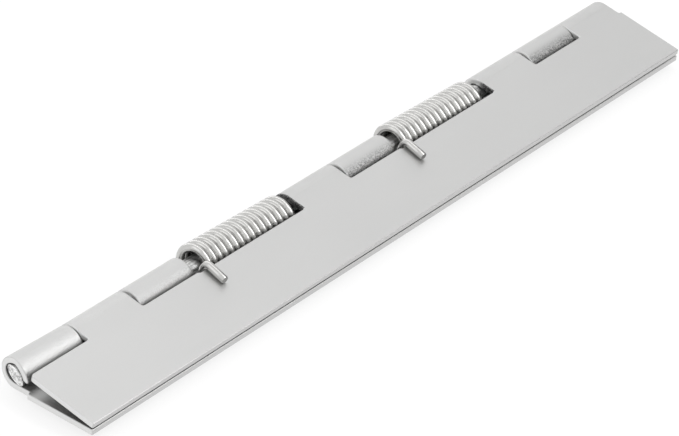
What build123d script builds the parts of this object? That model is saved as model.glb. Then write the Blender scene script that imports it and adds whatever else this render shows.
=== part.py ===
# Spring hinge: two alike stamped leaves on one pin, held shut by two torsion springs.
# X runs along the pin from its middle, the leaves reach towards -Y, and +Z is up.
# The hinge lies closed, with the lower leaf level and the free edges of the leaves together.
from build123d import *
from math import atan, cos, degrees, pi, radians, sin, sqrt
import os

os.makedirs("parts", exist_ok=True)

# Leaves, mm
unit_length = 20.0
unit_count = 12
lower_knuckles = (0, 2, 6, 10)
leaf_width = 25.4
sheet = 1.6
knuckle_gap = 0.6
end_setback = 1.0
curl_turn = 281.0
closed_gap = 0.4
free_corner = 0.4
shoulder_corner = 1.2
slot_corner = 0.6
edge_round = 0.3

# Pin, mm
pin_diameter = 5.0
pin_play = 0.15
pin_chamfer = 0.3

# Springs, mm: each fills a window two units long. Named here are the unit it starts at, how
# far into the window its first leg lies, and how far its first half turn climbs.
spring_places = {"left_spring": (3, 2.2, 2.9), "right_spring": (7, 1.8, 2.3)}
wire = 2.1
coil_play = 0.7
coil_lift = 0.6
coil_back = 0.15
turn_pitch = 2.15
turns = 16
leg_reach = 11.6
leg_seat = 0.1
upper_bend = 2.3
upper_arch = 1.1
lower_bend = 1.4
lower_arch = 0.0
window_play = 0.1

# How the round wire is drawn: flat sides, and straight spans in a turn and in a bend
wire_sides = 8
turn_spans = 16
bend_spans = 4

# Worked out from the sizes above
length = unit_length * unit_count
bore = pin_diameter / 2 + pin_play
barrel = bore + sheet
closed_angle = 2 * atan((bore - closed_gap / 2) / leaf_width)
coil_radius = pin_diameter / 2 + coil_play + wire / 2
coil_reach = coil_radius + wire / 2 + sqrt(coil_lift**2 + coil_back**2)
slot_depth = sqrt((coil_reach + window_play) ** 2 - bore**2)
edge = length / 2


def on_circle(radius, angle):
    return (radius * cos(radians(angle)), radius * sin(radians(angle)))


def leaf_section():
    """Flat sheet, tangent to the barrel below, curled up behind the pin and over it."""
    start = -90
    with BuildSketch(Plane.YZ) as section:
        with BuildLine():
            Line((-leaf_width, -barrel), (0, -barrel))
            CenterArc((0, 0), barrel, start, curl_turn)
            Line(on_circle(barrel, start + curl_turn), on_circle(bore, start + curl_turn))
            CenterArc((0, 0), bore, start, curl_turn)
            Line((0, -bore), (-leaf_width, -bore))
            Line((-leaf_width, -bore), (-leaf_width, -barrel))
        make_face()
        free_edge = section.vertices().group_by(Axis.Y)[0]
        fillet(free_edge, edge_round)
    return section.sketch


def leaf_plan():
    """Leaf seen from above: a plate, and a strip for each knuckle that is curled up later."""
    back = barrel + sheet
    with BuildSketch() as plan:
        with Locations((0, -(leaf_width + slot_depth) / 2)):
            plate = Rectangle(length, leaf_width - slot_depth)
        free_corners = plan.vertices().group_by(Axis.Y)[0]
        shoulder = plan.vertices().group_by(Axis.Y)[-1].sort_by(Axis.X)[-1]
        fillet(free_corners, free_corner)
        fillet(shoulder, shoulder_corner)
        for unit in lower_knuckles:
            left = -edge + unit * unit_length + knuckle_gap / 2
            right = left + unit_length - knuckle_gap
            left = max(left, -edge + end_setback)
            with Locations(((left + right) / 2, (back - slot_depth - sheet) / 2)):
                Rectangle(right - left, back + slot_depth + sheet)
        roots = [v for v in plan.vertices() if abs(v.Y + slot_depth) < sheet / 100]
        fillet([v for v in roots if -edge < v.X < edge - unit_length], slot_corner)
    return plan.sketch


def leaf():
    """Stamped leaf, with its knuckles at lower_knuckles and its outer face below."""
    rolled = extrude(leaf_section(), edge + sheet, both=True)
    return rolled & extrude(leaf_plan(), barrel + sheet, both=True)


def pin():
    """Plain pin, as long as the knuckles and level with the outer ends of the end ones."""
    rod = Cylinder(pin_diameter / 2, length - 2 * end_setback, rotation=(0, 90, 0))
    return chamfer(rod.edges().filter_by(GeomType.CIRCLE), pin_chamfer)


def between_leaves(x, back, up):
    """Point in the frame that lies midway between the closed leaves."""
    half = closed_angle / 2
    return Vector(x, back * cos(half) - up * sin(half), back * sin(half) + up * cos(half))


def rounded_corner(before, corner, after, radius):
    """Points of the arc that rounds the corner of a path."""
    into = (corner - before).normalized()
    out = (after - corner).normalized()
    turn = radians(into.get_angle(out))
    centre = corner + (out - into).normalized() * (radius / cos(turn / 2))
    across = (corner - into * (radius * sin(turn / 2) / cos(turn / 2)) - centre).normalized()
    steps = [turn * step / bend_spans for step in range(bend_spans + 1)]
    return [centre + (across * cos(step) + into * sin(step)) * radius for step in steps]


def leg(x, arch):
    """Leg that rises in front of the pin and lies along the upper leaf. Where it turns
    over it stands clear of the leaf by the arch, and only its tip lies on the leaf."""
    half = closed_angle / 2
    height = barrel + leg_seat + wire / 2
    front = coil_back - coil_radius
    tip = (-leg_reach * cos(half) - height * sin(half), height * cos(half) - leg_reach * sin(half))
    top = (height + front * sin(half)) / cos(half) + arch
    return [(x, *tip), (x, front, top), (x, front, coil_lift)]


def wire_path(start, climb):
    """Middle line of a spring: the leg on the upper leaf, the coil, and the leg under the
    lower leaf. The first half turn climbs away from its leg, and the rest lies close."""
    coil = []
    for step in range(turns * turn_spans + 1):
        turn = step / turn_spans
        angle = pi + 2 * pi * turn
        along = start + climb * min(turn / 0.5, 1) + turn_pitch * max(turn - 0.5, 0)
        lift = coil_lift * (1 - 2 * turn / turns)
        place = (along, coil_back + coil_radius * cos(angle), lift + coil_radius * sin(angle))
        coil.append(between_leaves(*place))
    end = start + climb + turn_pitch * (turns - 0.5)
    upper = [between_leaves(*point) for point in leg(start, upper_arch)]
    lower = [between_leaves(x, back, -up) for x, back, up in leg(end, lower_arch)]
    path = [upper[0], *rounded_corner(*upper, upper_bend), *coil]
    path += [*reversed(rounded_corner(*lower, lower_bend)), lower[0]]
    return path


def wire_solid(path):
    """Wire with flat sides along a path of straight spans, mitred where the spans meet."""
    ways = [(b - a).normalized() for a, b in zip(path, path[1:])]
    side = Vector(1, 0, 0)
    over = ways[0].cross(side)
    angles = [2 * pi * (k + 0.5) / wire_sides for k in range(wire_sides)]
    ring = [path[0] + (side * cos(a) + over * sin(a)) * (wire / 2) for a in angles]
    rings = [ring]
    for way, after, place in zip(ways, [*ways[1:], ways[-1]], path[1:]):
        mitre = way + after
        ring = [v + way * ((place - v).dot(mitre) / way.dot(mitre)) for v in ring]
        rings.append(ring)
    faces = [Face(Wire.make_polygon(rings[0])), Face(Wire.make_polygon(rings[-1]))]
    for here, there in zip(rings, rings[1:]):
        for k in range(wire_sides):
            n = (k + 1) % wire_sides
            faces.append(Face(Wire.make_polygon([here[k], here[n], there[n], there[k]])))
    return Solid(Shell(faces))


lower_leaf = leaf()
upper_leaf = Rot(X=degrees(closed_angle)) * Rot(Y=180) * lower_leaf

export_step(lower_leaf, "parts/lower_leaf.step")
export_step(upper_leaf, "parts/upper_leaf.step")
export_step(pin(), "parts/hinge_pin.step")
for name, (unit, inset, climb) in spring_places.items():
    spring = wire_solid(wire_path(-edge + unit * unit_length + inset, climb))
    export_step(spring, f"parts/{name}.step")
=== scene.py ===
from math import atan, atan2, cos, pi, radians, sin, sqrt, tan

import bmesh
import bpy
from mathutils import Matrix, Vector


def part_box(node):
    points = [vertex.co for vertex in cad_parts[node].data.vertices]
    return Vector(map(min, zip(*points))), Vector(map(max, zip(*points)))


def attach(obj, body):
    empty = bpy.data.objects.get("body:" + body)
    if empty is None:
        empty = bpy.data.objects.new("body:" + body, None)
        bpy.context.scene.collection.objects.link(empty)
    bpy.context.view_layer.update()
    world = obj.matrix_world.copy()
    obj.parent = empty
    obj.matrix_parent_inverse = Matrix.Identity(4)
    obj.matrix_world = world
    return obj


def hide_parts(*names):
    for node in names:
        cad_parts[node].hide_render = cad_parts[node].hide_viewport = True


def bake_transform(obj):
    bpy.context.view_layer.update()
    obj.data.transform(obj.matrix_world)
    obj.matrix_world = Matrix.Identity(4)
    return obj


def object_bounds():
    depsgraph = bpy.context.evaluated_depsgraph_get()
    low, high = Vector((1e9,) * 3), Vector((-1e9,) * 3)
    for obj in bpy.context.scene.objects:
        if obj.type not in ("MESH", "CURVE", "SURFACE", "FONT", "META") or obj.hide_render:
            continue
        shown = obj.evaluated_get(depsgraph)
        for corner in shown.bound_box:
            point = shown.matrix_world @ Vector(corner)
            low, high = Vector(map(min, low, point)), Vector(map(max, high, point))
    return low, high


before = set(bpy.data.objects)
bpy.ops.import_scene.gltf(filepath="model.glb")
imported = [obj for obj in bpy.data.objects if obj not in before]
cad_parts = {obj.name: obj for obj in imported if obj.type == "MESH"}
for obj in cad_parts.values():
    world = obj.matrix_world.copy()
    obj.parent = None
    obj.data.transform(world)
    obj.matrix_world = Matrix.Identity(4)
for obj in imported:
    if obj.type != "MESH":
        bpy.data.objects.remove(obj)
cad_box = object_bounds()
mm = 0.001

# Stamped leaves
# Two alike stainless leaves, blanked from 1.6 mm sheet and rolled round the pin at the
# knuckles. The second is the first turned end for end and closed onto it.
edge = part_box("lower_leaf")[1].x
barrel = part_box("lower_leaf")[1].y
leaf_width = -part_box("lower_leaf")[0].y
sheet = 1.6 * mm
bore = barrel - sheet
middle = bore + sheet / 2
closed_gap = 0.4 * mm
closed_angle = 2 * atan((bore - closed_gap / 2) / leaf_width)

# The length is divided into units. A window for a spring is two units long, and each unit
# that isn't in a window holds one leaf's knuckle in front of the other leaf's slot.
unit_count = 12
unit_length = 2 * edge / unit_count
lower_knuckles = (0, 2, 6, 10)
windows = (3, 7)
window_units = 2
knuckle_gap = 0.6 * mm
end_setback = 1.0 * mm
window_reach = 6.018 * mm
window_depth = sqrt(window_reach**2 - bore**2)
slot_depth = barrel + 0.7 * mm
step_slant = 0.3 * mm
knuckle_shift = 0.4 * mm
curl_turn = radians(281)
curl_steps = 56
free_corner = 0.4 * mm
shoulder_corner = 1.2 * mm
slot_corner = 0.6 * mm
corner_steps = 5
edge_round = 0.28 * mm
edge_rounds = 3
same_level = 0.01 * mm
flat_on = 0.999

# How staking has opened and dented the end knuckle's curl towards its outer end
spread_end = 0.12
spread_way = Vector((0, 0.74, 0.67))
held_flat = 0.8 * bore
bore_skin = bore + 1.5 * edge_round
bore_shift = Vector((0, 0.4, -0.1)) * mm
front_dent = 0.7 * mm
dent_sweep = radians(105)

# Where the finish changes, and where light and shade are painted into it. The cut sides beyond the
# windows are ragged and darkened with painted shade, the second only in its lower half. The cut
# faces that face along the pin are painted lighter, a painted highlight.
# The fronts of the knuckles get pitting darkened with painted shade, more and more along the hinge.
sheet_grey = (0.57, 0.57, 0.566, 1)
curl_from = 1.03 * barrel
curl_fully = 1.01 * barrel
front_from = -0.3 * barrel
front_fully = -0.95 * barrel
upper_from = -0.5 * mm
upper_fully = 0.5 * mm
# Painted highlight on the cut faces that face along the pin
lit_ends_from = 0.8
lit_ends_fully = 0.95
# Painted shade, mottled, on the ragged cut sides in the windows
torn_shaded_sides = [-edge + (unit + window_units) * unit_length + knuckle_gap / 2 for unit in windows]
torn_shade_depth = 0.36 * mm
torn_shade_fade = 0.1 * mm
torn_shade_from = -0.4 * mm
torn_shade_fully = -2.6 * mm
# Painted shade with the pitting on the knuckle fronts, growing along the hinge
pits_shade_from = -0.9 * edge
pits_shade_fully = 0.1 * edge


class Socket:
    """A node's output that adds its own Math nodes when Python reckons with it."""

    def __init__(self, shader, output):
        self.shader = shader
        self.output = output

    def reckon(self, operation, *values):
        values = values or (self,)
        return self.shader.node("ShaderNodeMath", {"operation": operation}, dict(enumerate(values)))

    def __add__(self, other):
        return self.reckon("ADD", self, other)

    def __sub__(self, other):
        return self.reckon("SUBTRACT", self, other)

    def __rsub__(self, other):
        return self.reckon("SUBTRACT", other, self)

    def __mul__(self, other):
        return self.reckon("MULTIPLY", self, other)

    __radd__ = __add__
    __rmul__ = __mul__


class Shader:
    def __init__(self, owner):
        self.owner = owner
        self.owner.use_nodes = True
        self.tree = self.owner.node_tree
        self.tree.nodes.clear()

    def node(self, kind, settings=None, inputs=None, output=0):
        node = self.tree.nodes.new(kind)
        for key, value in (settings or {}).items():
            setattr(node, key, value)
        for key, value in (inputs or {}).items():
            if isinstance(value, Socket):
                self.tree.links.new(value.output, node.inputs[key])
            else:
                node.inputs[key].default_value = value
        return Socket(self, node.outputs[output])

    def coordinate(self, kind):
        """The place on the piece (Object), which way its surface faces (Normal), and so on."""
        return self.node("ShaderNodeTexCoord", output=kind)

    def axis(self, vector, letter):
        return self.node("ShaderNodeSeparateXYZ", None, {"Vector": vector}, output=letter)

    def noise(self, scale, detail, stretch=(1, 1, 1), rough=0.6):
        place = {"Vector": self.coordinate("Object"), "Scale": stretch}
        mapped = self.node("ShaderNodeMapping", None, place)
        inputs = {"Vector": mapped, "Scale": scale, "Detail": detail, "Roughness": rough}
        return self.node("ShaderNodeTexNoise", None, inputs)

    def mix(self, factor, first, second):
        """Mix of two colours; the numbers are the Mix node's sockets for colour."""
        settings = {"data_type": "RGBA"}
        return self.node("ShaderNodeMix", settings, {0: factor, 6: first, 7: second}, output=2)

    def between(self, value, none, full):
        """0 where a value is at none, 1 where it is at full, and smooth between them."""
        inputs = {"Value": value, "From Min": none, "From Max": full}
        return self.node("ShaderNodeMapRange", {"interpolation_type": "SMOOTHSTEP"}, inputs)

    def band(self, value, centre, half):
        """1 where a value lies close to the centre, 0 where it is further off than half."""
        return self.between((value - centre).reckon("ABSOLUTE"), half, half * 0.8)

    def near(self, direction, place, full, none):
        """1 where a unit vector lies within one angle of a direction, 0 beyond the other."""
        settings = {"operation": "DOT_PRODUCT"}
        inputs = {0: place, 1: Vector(direction).normalized()}
        along = self.node("ShaderNodeVectorMath", settings, inputs, output="Value")
        return self.between(along, cos(radians(none)), cos(radians(full)))

    def metal(self, colour, roughness, height, strength, distance):
        """Bare metal with its surface finish, as the material's shader."""
        bump = {"Height": height, "Strength": strength, "Distance": distance}
        normal = self.node("ShaderNodeBump", None, bump)
        values = {"Base Color": colour, "Metallic": 1.0, "Roughness": roughness, "Normal": normal}
        return self.finish(self.node("ShaderNodeBsdfPrincipled", None, values))

    def finish(self, surface, end_kind="ShaderNodeOutputMaterial"):
        end = self.tree.nodes.new(end_kind)
        self.tree.links.new(surface.output, end.inputs["Surface"])
        return self.owner


def shade(grey, factor):
    return (grey[0] * factor, grey[1] * factor, grey[2] * factor, 1)


def rolled_sheet():
    """Cold-rolled stainless sheet: matt, with a fine grain along the leaf and soft clouding.
    Rolling has roughened the knuckles. Their fronts get pitting darkened with painted shade, the cut
    sides in the windows are ragged and darkened with painted shade, and the cut faces that face
    along the pin are painted lighter as a painted highlight."""
    shader = Shader(bpy.data.materials.new("rolled stainless sheet"))
    pits = shader.noise(scale=2600, detail=3, rough=0.7)
    grain = shader.noise(scale=900, detail=4, stretch=(1, 9, 9))
    speckle = shader.noise(scale=5200, detail=2)
    cloud = shader.noise(scale=60, detail=2, stretch=(0.35, 1, 1))
    spots = shader.between(pits, 0.4, 0.6)
    place = shader.coordinate("Object")
    x, y, z = [shader.axis(place, letter) for letter in "XYZ"]

    across = shader.node("ShaderNodeMapping", None, {"Vector": place, "Scale": (0, 1, 1)})
    length = {"operation": "LENGTH"}
    reach = shader.node("ShaderNodeVectorMath", length, {0: across}, output="Value")
    curl = shader.between(reach, curl_from, curl_fully)
    above = shader.between(z, upper_from, upper_fully)
    front = shader.between(y, front_from, front_fully)
    behind = shader.between(y, -window_reach, torn_shade_fade - window_reach)
    facing = shader.axis(shader.coordinate("Normal"), "X").reckon("ABSOLUTE")
    lit_ends = shader.between(facing, lit_ends_from, lit_ends_fully)
    cuts = [shader.band(x, side, torn_shade_depth) for side in torn_shaded_sides]
    torn_and_shaded = (cuts[0] + cuts[1] * shader.between(y, torn_shade_from, torn_shade_fully)) * above * behind
    pitted_and_shaded = curl * front * above * shader.between(x, pits_shade_from, pits_shade_fully)

    tone = grain * 0.3 + speckle * 0.4 + cloud * 0.3
    clean = shader.mix(tone, shade(sheet_grey, 0.9), shade(sheet_grey, 1.08))
    # Painted highlight: the cut faces that face along the pin are painted lighter
    bright = shader.mix(lit_ends, clean, shade(sheet_grey, 1.28))
    # Pitting that also paints the shade on the lower fronts of the knuckles
    pitted_shade_colour = shader.mix(spots, clean, shade(sheet_grey, 0.3))
    # Painted shade on the ragged cut sides in the windows, mottled by the pits
    rough = shader.mix(spots, shade(sheet_grey, 0.08), shade(sheet_grey, 0.45))
    colour = shader.mix(torn_and_shaded, shader.mix(pitted_and_shaded, bright, pitted_shade_colour), rough)
    roughness = 0.36 + grain * 0.08 + cloud * 0.06
    relief = speckle * 0.12 + grain * 0.08 + pits * curl * 8.0
    return shader.metal(colour, roughness, relief, strength=0.5, distance=0.02 * mm)


def round_points(corner, before, after, radius):
    """Points of the arc that rounds a square corner of the blank."""
    into = (before - corner).normalized() * radius
    out = (after - corner).normalized() * radius
    centre = corner + into + out
    arc = [k / corner_steps * pi / 2 for k in range(corner_steps + 1)]
    return [centre - out * cos(a) - into * sin(a) for a in arc]


def blank_outline(shift):
    """The flat blank before rolling: x along the pin, y from the free edge into the curl.
    The shift moves the knuckles along the pin."""
    strip_end = middle * curl_turn
    corners = [(-edge, -leaf_width, free_corner), (edge, -leaf_width, free_corner)]
    corners.append((edge, -slot_depth, shoulder_corner))
    for unit in reversed(lower_knuckles):
        left = -edge + unit * unit_length + knuckle_gap / 2 + shift
        right = left + unit_length - knuckle_gap
        left = max(left, -edge + end_setback)
        root = window_depth if unit + 1 in windows else slot_depth
        corners.append((right, -root, slot_corner))
        corners.append((right, strip_end, 0))
        corners.append((left, strip_end, 0))
        corners.append((left, -slot_depth, slot_corner))
        if unit - window_units - 1 in windows:
            step = -edge + (unit - 1) * unit_length
            corners.append((step + step_slant, -slot_depth, 0))
            corners.append((step - step_slant, -window_depth, 0))
    corners.append((-edge, -slot_depth, 0))
    points = []
    for k, (x, y, radius) in enumerate(corners):
        corner = Vector((x, y))
        before = Vector(corners[k - 1][:2])
        after = Vector(corners[(k + 1) % len(corners)][:2])
        points += round_points(corner, before, after, radius) if radius else [corner]
    return points


def rolled(point):
    """Where a point of the flat blank goes when the knuckles are rolled round the pin."""
    depth = point.z
    if point.y <= 0:
        return Vector((point.x, point.y, -bore - depth))
    angle = point.y / middle - pi / 2
    radius = bore + depth
    return Vector((point.x, radius * cos(angle), radius * sin(angle)))


def leaf_mesh(name, shift):
    """Blank with softened edges, cut across where it bends, and then rolled."""
    mesh = bpy.data.meshes.new(name)
    piece = bpy.data.objects.new(name, mesh)
    bpy.context.scene.collection.objects.link(piece)
    shape = bmesh.new()
    face = shape.faces.new([shape.verts.new((p.x, p.y, 0)) for p in blank_outline(shift)])
    raised = bmesh.ops.extrude_face_region(shape, geom=[face])["geom"]
    top = [v for v in raised if isinstance(v, bmesh.types.BMVert)]
    bmesh.ops.translate(shape, verts=top, vec=(0, 0, sheet))
    bmesh.ops.recalc_face_normals(shape, faces=shape.faces)
    rims = [e for e in shape.edges if abs(e.verts[0].co.z - e.verts[1].co.z) < same_level]
    bmesh.ops.bevel(
        shape, geom=rims, offset=edge_round, segments=edge_rounds, profile=0.5, affect="EDGES"
    )
    for step in range(curl_steps):
        place = (0, middle * curl_turn * step / curl_steps, 0)
        parts = shape.verts[:] + shape.edges[:] + shape.faces[:]
        bmesh.ops.bisect_plane(shape, geom=parts, plane_co=place, plane_no=(0, 1, 0))
    shape.normal_update()
    for line in shape.edges:
        level = [abs(side.normal.z) > flat_on for side in line.link_faces]
        line.smooth = all(level) or not any(level)
    for vertex in shape.verts:
        vertex.co = rolled(vertex.co)
    bmesh.ops.recalc_face_normals(shape, faces=shape.faces)
    bmesh.ops.triangulate(shape, faces=shape.faces, ngon_method="BEAUTY")
    shape.to_mesh(mesh)
    shape.free()
    return piece


def spread(piece):
    """Opens the curl of the end knuckle towards its outer end, and dents its front."""
    for vertex in piece.data.vertices:
        place = vertex.co
        share = max(-edge + unit_length - place.x, 0) / unit_length
        turn = atan2(place.z, place.y) % (2 * pi)
        if place.y < 0 and place.z < -held_flat:
            continue
        across = Vector((0, place.y, place.z))
        if across.length < bore_skin and place.y > 0:
            place += bore_shift * (share**2 * cos(atan2(place.z, place.y)))
        place += spread_way * (max(spread_way.dot(place), 0) * share**2 * spread_end)
        dent = max(turn - pi / 2, 0) / dent_sweep
        if dent < 1:
            place -= across.normalized() * (share**2 * front_dent * sin(pi * dent))


def settle(piece, material):
    """Smooth shading with the flats kept flat, made part of a plain mesh."""
    piece.data.shade_smooth()
    weighted = piece.modifiers.new("flats", "WEIGHTED_NORMAL")
    weighted.keep_sharp = True
    depsgraph = bpy.context.evaluated_depsgraph_get()
    plain = bpy.data.meshes.new_from_object(piece.evaluated_get(depsgraph))
    piece.modifiers.clear()
    piece.data = plain
    piece.data.materials.clear()
    piece.data.materials.append(material)
    return piece


sheet_steel = rolled_sheet()
lower = leaf_mesh("lower_leaf_sheet", knuckle_shift)
spread(lower)
settle(lower, sheet_steel)
upper = settle(leaf_mesh("upper_leaf_sheet", 0), sheet_steel)
upper.data.transform(Matrix.Rotation(closed_angle, 4, "X") @ Matrix.Rotation(pi, 4, "Y"))
for piece, node, body in ((lower, "lower_leaf", "fixed_leaf"), (upper, "upper_leaf", "moving_leaf")):
    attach(piece, body)
    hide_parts(node)

# Pin
# A plain drawn steel pin, cropped level with the end knuckles and lightly chamfered. Both
# of its ends are staked to an oval, which keeps it in the knuckles.
pin_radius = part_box("hinge_pin")[1].y
pin_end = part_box("hinge_pin")[1].x
pin_chamfer = 0.3 * mm
pin_sides = 72
chamfer_steps = 4
staked_rings = 8
staked_run = 5.0 * mm
staked_long = 3.1 * mm
staked_short = 1.45 * mm
staked_shift = Vector((0, 0.08, -0.3)) * mm
staked_fade = 1.5
pin_grey = (0.7, 0.7, 0.695, 1)


def drawn_bar():
    """Drawn bar: fine streaks along its side."""
    shader = Shader(bpy.data.materials.new("drawn pin steel"))
    streaks = shader.noise(scale=1100, detail=4, stretch=(0.04, 1, 1), rough=0.7)
    grit = shader.noise(scale=2600, detail=4)
    blotch = shader.noise(scale=700, detail=3)
    tone = shader.between(streaks * 0.6 + grit * 0.2 + blotch * 0.2, 0.38, 0.62)
    colour = shader.mix(tone, shade(pin_grey, 0.45), shade(pin_grey, 1.4))
    roughness = 0.3 + grit * 0.15
    relief = grit + blotch + streaks * 2.0
    return shader.metal(colour, roughness, relief, strength=0.3, distance=0.05 * mm)


def pin_outline():
    """The pin's (x, radius) pairs from end to end, close together where it is staked."""
    half = []
    for k in range(staked_rings, 0, -1):
        half.append((pin_end - pin_chamfer - staked_run * k / staked_rings, pin_radius))
    for k in range(chamfer_steps + 1):
        angle = k / chamfer_steps * pi / 2
        x = pin_end - pin_chamfer * (1 - sin(angle))
        half.append((x, pin_radius - pin_chamfer * (1 - cos(angle))))
    return [(-x, radius) for x, radius in reversed(half)] + half


def turned(name, outline, sides):
    """Closed solid of revolution about the pin's axis; outline holds (x, radius) pairs."""
    shape = bmesh.new()
    angles = [2 * pi * k / sides for k in range(sides)]
    rings = []
    for x, radius in outline:
        rings.append([shape.verts.new((x, radius * cos(a), radius * sin(a))) for a in angles])
    for here, there in zip(rings, rings[1:]):
        for k in range(sides):
            n = (k + 1) % sides
            shape.faces.new((here[k], here[n], there[n], there[k]))
    shape.faces.new(rings[0])
    shape.faces.new(rings[-1])
    bmesh.ops.recalc_face_normals(shape, faces=shape.faces)
    mesh = bpy.data.meshes.new(name)
    shape.to_mesh(mesh)
    shape.free()
    piece = bpy.data.objects.new(name, mesh)
    bpy.context.scene.collection.objects.link(piece)
    return piece


def stake(piece):
    """Flattens both ends of the pin to an oval, which keeps it in the knuckles."""
    wide = spread_way.normalized()
    thin = Vector((0, -wide.z, wide.y))
    for vertex in piece.data.vertices:
        share = max(1 - (pin_end - abs(vertex.co.x)) / staked_run, 0) ** staked_fade
        long_way = wide.dot(vertex.co) * (1 + share * (staked_long / pin_radius - 1))
        short_way = thin.dot(vertex.co) * (1 + share * (staked_short / pin_radius - 1))
        place = wide * long_way + thin * short_way + staked_shift * share
        vertex.co = Vector((vertex.co.x, place.y, place.z))


pin = turned("pin_bar", pin_outline(), pin_sides)
stake(pin)
settle(pin, drawn_bar())
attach(pin, "fixed_leaf")
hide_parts("hinge_pin")

# Torsion springs
# Two close-wound springs of 2.1 mm stainless wire round the pin. Each has one leg that bends
# over onto the upper leaf and one under the lower leaf, and winds up as the hinge opens.
wire_radius = 1.05 * mm
coil_play = 0.7 * mm
coil_radius = pin_radius + coil_play + wire_radius
coil_lift = 0.6 * mm
coil_back = 0.15 * mm
turn_pitch = 2.15 * mm
turns = 16
turn_spans = 48
first_half = 0.5
leg_reach = 11.8 * mm
leg_seat = 0.1 * mm
leg_room = 1.5 * wire_radius
upper_bend = 1.6 * mm
upper_arch = 0.1 * mm
upper_lean = 1.3 * mm
upper_skew = -0.8 * mm
lower_bend = 1.4 * mm
bend_spans = 10
wire_sides = 24
cut_round = 0.15 * mm
wire_grey = (0.56, 0.557, 0.545, 1)
tip_from = -9 * mm
tip_fully = -10 * mm
cut_from = -0.8
cut_fully = -0.9

# Each spring's window, how far into it the first leg lies, and how far the first half turn
# climbs along the pin
spring_places = {"left_spring": (3, 2.7 * mm, 2.2 * mm), "right_spring": (7, 1.9 * mm, 1.5 * mm)}


def spring_wire():
    """Drawn spring wire: semi-bright, with fine scratches, a little warmth and dark cut ends."""
    shader = Shader(bpy.data.materials.new("drawn spring wire"))
    scratch = shader.noise(scale=1900, detail=4)
    grime = shader.noise(scale=260, detail=3)
    tone = scratch * 0.5 + grime * 0.5
    drawn = shader.mix(tone, shade(wire_grey, 0.72), shade(wire_grey, 1.25))
    tip = shader.between(shader.axis(shader.coordinate("Object"), "Y"), tip_from, tip_fully)
    facing = shader.axis(shader.coordinate("Normal"), "Y")
    cut = tip * shader.between(facing, cut_from, cut_fully)
    colour = shader.mix(cut, drawn, shade(wire_grey, 0.4))
    roughness = 0.13 + scratch * 0.12 + grime * 0.06
    return shader.metal(colour, roughness, scratch, strength=0.12, distance=0.03 * mm)


def between_leaves(x, back, up):
    """Point in the frame that lies midway between the closed leaves."""
    half = closed_angle / 2
    return Vector((x, back * cos(half) - up * sin(half), back * sin(half) + up * cos(half)))


def rounded_corner(before, corner, after, radius):
    """Points of the arc that rounds a corner of the wire's middle line."""
    into = (corner - before).normalized()
    out = (after - corner).normalized()
    turn = into.angle(out)
    centre = corner + (out - into).normalized() * (radius / cos(turn / 2))
    across = (corner - into * (radius * tan(turn / 2)) - centre).normalized()
    steps = [turn * step / bend_spans for step in range(bend_spans + 1)]
    return [centre + (across * cos(step) + into * sin(step)) * radius for step in steps]


def leg(x, arch=0.0, lean=0.0, skew=0.0):
    """Leg that rises in front of the pin and comes down onto the upper leaf at its tip."""
    half = closed_angle / 2
    height = barrel + leg_seat + wire_radius
    front = coil_back - coil_radius
    tip = (-leg_reach * cos(half) - height * sin(half), height * cos(half) - leg_reach * sin(half))
    top = (height + front * sin(half)) / cos(half) + arch
    return [(x + skew, *tip), (x, front - lean, top), (x, front, coil_lift)]


def coil_end(start, climb):
    """Where along the pin a spring's second leg leaves its coil."""
    return start + climb + turn_pitch * (turns - first_half)


def wire_path(start, climb):
    """Middle line: the leg on the upper leaf, the coil, and the leg under the lower leaf."""
    coil = []
    for step in range(turns * turn_spans + 1):
        turn = step / turn_spans
        angle = pi + 2 * pi * turn
        along = start + climb * min(turn / first_half, 1) + turn_pitch * max(turn - first_half, 0)
        lift = coil_lift * (1 - 2 * turn / turns)
        place = (along, coil_back + coil_radius * cos(angle), lift + coil_radius * sin(angle))
        coil.append(between_leaves(*place))
    upper_leg = [between_leaves(*point) for point in leg(start, upper_arch, upper_lean, upper_skew)]
    lower_leg = [between_leaves(x, back, -up) for x, back, up in leg(coil_end(start, climb))]
    bends = rounded_corner(*upper_leg, upper_bend), rounded_corner(*lower_leg, lower_bend)
    inner = (bends[0][0] - upper_leg[0]).normalized() * cut_round
    outer = (bends[1][0] - lower_leg[0]).normalized() * cut_round
    path = [upper_leg[0], upper_leg[0] + inner, *bends[0], *coil]
    return path + [*reversed(bends[1]), lower_leg[0] + outer, lower_leg[0]]


def wire_tree(material):
    """Geometry Nodes that draw round wire along a path, as thick as the path's own radius."""
    tree = bpy.data.node_groups.new("round wire", "GeometryNodeTree")
    tree.interface.new_socket("Path", in_out="INPUT", socket_type="NodeSocketGeometry")
    radius = tree.interface.new_socket("Wire radius", in_out="INPUT", socket_type="NodeSocketFloat")
    sides = tree.interface.new_socket("Sides", in_out="INPUT", socket_type="NodeSocketInt")
    tree.interface.new_socket("Wire", in_out="OUTPUT", socket_type="NodeSocketGeometry")
    nodes, links = tree.nodes, tree.links
    source = nodes.new("NodeGroupInput")
    circle = nodes.new("GeometryNodeCurvePrimitiveCircle")
    thickness = nodes.new("GeometryNodeInputRadius")
    sweep = nodes.new("GeometryNodeCurveToMesh")
    smooth = nodes.new("GeometryNodeSetShadeSmooth")
    realize = nodes.new("GeometryNodeRealizeInstances")
    finish = nodes.new("GeometryNodeSetMaterial")
    sink = nodes.new("NodeGroupOutput")
    finish.inputs["Material"].default_value = material
    sweep.inputs["Fill Caps"].default_value = True
    links.new(source.outputs["Sides"], circle.inputs["Resolution"])
    links.new(source.outputs["Wire radius"], circle.inputs["Radius"])
    links.new(source.outputs["Path"], sweep.inputs["Curve"])
    links.new(circle.outputs["Curve"], sweep.inputs["Profile Curve"])
    links.new(thickness.outputs["Radius"], sweep.inputs["Scale"])
    links.new(sweep.outputs["Mesh"], smooth.inputs["Geometry"])
    links.new(smooth.outputs["Geometry"], realize.inputs["Geometry"])
    links.new(realize.outputs["Geometry"], finish.inputs["Geometry"])
    links.new(finish.outputs["Geometry"], sink.inputs["Wire"])
    return tree, radius.identifier, sides.identifier


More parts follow.
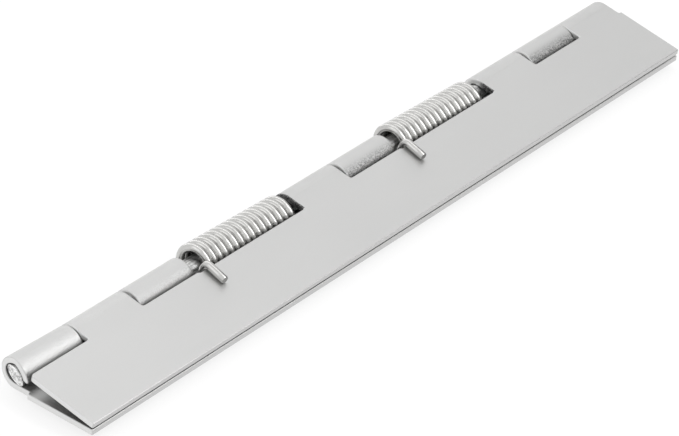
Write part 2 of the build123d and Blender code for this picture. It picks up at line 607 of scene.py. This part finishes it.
def drawn_wire(name, path, tree, radius_input, sides_input):
    """One spring as a plain mesh, from its middle line, with its cut ends softened."""
    curve = bpy.data.curves.new(name, "CURVE")
    curve.dimensions = "3D"
    spline = curve.splines.new("POLY")
    spline.points.add(len(path) - 1)
    for point, place in zip(spline.points, path):
        point.co = (*place, 1)
        point.radius = 1
    for end in (0, -1):
        spline.points[end].radius = 1 - cut_round / wire_radius
    line = bpy.data.objects.new(name + "_line", curve)
    bpy.context.scene.collection.objects.link(line)
    draw = line.modifiers.new("wire", "NODES")
    draw.node_group = tree
    draw[radius_input] = wire_radius
    draw[sides_input] = wire_sides
    depsgraph = bpy.context.evaluated_depsgraph_get()
    mesh = bpy.data.meshes.new_from_object(line.evaluated_get(depsgraph))
    bpy.data.objects.remove(line)
    mesh.name = name
    piece = bpy.data.objects.new(name, mesh)
    bpy.context.scene.collection.objects.link(piece)
    return piece


wire_drawing = wire_tree(spring_wire())
for node, (unit, inset, climb) in spring_places.items():
    start = -edge + unit * unit_length + inset
    spring = drawn_wire(node + "_wire", wire_path(start, climb), *wire_drawing)
    free_from = (start + leg_room, 0, 0)
    held_from = (coil_end(start, climb) - leg_room, 0, 0)
    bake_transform(spring)
    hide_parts(node)

# Studio
# White paper underneath that keeps a soft shadow, a white surround with a strip light
# across the pin and a dim patch past its far end, and two soft boxes.
floor_half = 3.0
floor_drop = cad_box[0][2]
paper_white = (0.92, 0.92, 0.92, 1)
paper_glow = 0.75
strip_middle = 0.35
strip_half = 0.1
strip_light = 1.6
dim_way = (0.93, -0.31, 0.2)
dim_fully = 18
dim_until = 38
dimming = 0.7


def floor_paint():
    """White paper: camera and mirror rays see it nearly white, with the shadow kept."""
    shader = Shader(bpy.data.materials.new("white paper"))
    rays = shader.tree.nodes.new("ShaderNodeLightPath").outputs
    camera_ray = Socket(shader, rays["Is Camera Ray"])
    mirror_ray = Socket(shader, rays["Is Glossy Ray"]) + Socket(shader, rays["Is Transmission Ray"])
    share = (camera_ray + mirror_ray) * paper_glow
    paper = shader.node("ShaderNodeBsdfDiffuse", None, {"Color": paper_white})
    glow = shader.node("ShaderNodeEmission", None, {"Color": (1, 1, 1, 1), "Strength": 1.0})
    return shader.finish(shader.node("ShaderNodeMixShader", None, {0: share, 1: paper, 2: glow}))


def white_surround():
    """White all round, with the strip light and the dim patch."""
    shader = Shader(bpy.data.worlds.new("white surround"))
    way = shader.coordinate("Generated")
    strip = shader.band(shader.axis(way, "X"), strip_middle, strip_half)
    dim = shader.near(dim_way, way, dim_fully, dim_until)
    strength = 1.0 + strip * strip_light - dim * dimming
    inputs = {"Color": (1, 1, 1, 1), "Strength": strength}
    return shader.finish(shader.node("ShaderNodeBackground", None, inputs), "ShaderNodeOutputWorld")


def soft_box(name, place, aim, width, height, power):
    """A lamp as wide and high as a soft box, turned to face the aim."""
    lamp = bpy.data.lights.new(name, "AREA")
    lamp.shape = "RECTANGLE"
    lamp.size = width
    lamp.size_y = height
    lamp.energy = power
    box = bpy.data.objects.new(name, lamp)
    bpy.context.scene.collection.objects.link(box)
    box.location = place
    box.rotation_euler = (Vector(aim) - Vector(place)).to_track_quat("-Z", "Y").to_euler()


floor_mesh = bpy.data.meshes.new("paper_floor")
signs = [(-1, -1), (1, -1), (1, 1), (-1, 1)]
floor_corners = [(x * floor_half, y * floor_half, floor_drop) for x, y in signs]
floor_mesh.from_pydata(floor_corners, [], [(0, 1, 2, 3)])
floor_mesh.materials.append(floor_paint())
floor = bpy.data.objects.new("paper_floor", floor_mesh)
bpy.context.scene.collection.objects.link(floor)
bpy.context.scene.world = white_surround()
soft_box("front_box", (0.06, -0.31, 0.28), (-0.11, 0, 0), width=0.22, height=0.36, power=0.42)
soft_box("near_box", (-0.7, 0.2, 0.6), (0, 0, 0), width=0.6, height=0.6, power=0.6)

# Camera
# It stands at the near left of the hinge, looks down along it, and is turned a little.
camera_place = Vector((-617.45, -461.58, 488.44)) * mm
heading = radians(53.38)
downward = radians(32.97)
turn_left = radians(4.21)
picture_width = 679
focal_pixels = 3552.4
lens = bpy.data.cameras.new("camera")
lens.sensor_width = 36
lens.lens = focal_pixels / picture_width * lens.sensor_width
lens.clip_start = 0.01
camera = bpy.data.objects.new("camera", lens)
bpy.context.scene.collection.objects.link(camera)
bpy.context.scene.camera = camera
ahead = Vector((sin(heading) * cos(downward), cos(heading) * cos(downward), -sin(downward)))
level = ahead.cross(Vector((0, 0, 1))).normalized()
upright = level.cross(ahead)
right = level * cos(turn_left) + upright * sin(turn_left)
above = upright * cos(turn_left) - level * sin(turn_left)
turned_axes = Matrix((right, above, -ahead)).transposed().to_4x4()
camera.matrix_world = Matrix.Translation(camera_place) @ turned_axes
bpy.context.scene.view_settings.view_transform = "Standard"
